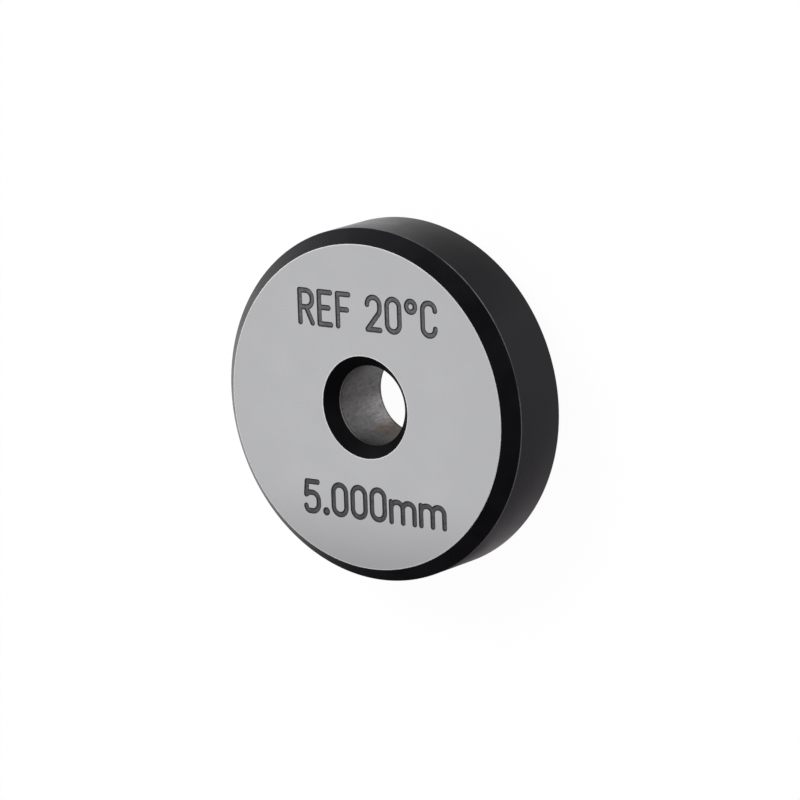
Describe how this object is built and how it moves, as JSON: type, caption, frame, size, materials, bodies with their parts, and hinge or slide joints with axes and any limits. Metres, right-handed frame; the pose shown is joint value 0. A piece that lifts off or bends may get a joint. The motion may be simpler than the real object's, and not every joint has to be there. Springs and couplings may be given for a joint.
{
  "type": "setting ring gauge",
  "caption": "Short thick steel ring with a lapped through bore, chamfered at rim and bore mouths, for setting internal measuring instruments.",
  "frame": {"origin": "centre of the back face, on the axis of the bore", "axes": "+Z along the axis of the bore, out of the marked front face; +Y towards the top of the marking, +X towards its right"},
  "size_m": [0.022, 0.022, 0.0058],
  "materials": {
    "ring_steel": "hardened steel, lapped bright on the two faces and in the bore, black oxide on the rim and the chamfers"
  },
  "bodies": {
    "root": {"setting_ring": "ring_steel"}
  },
  "joints": []
}
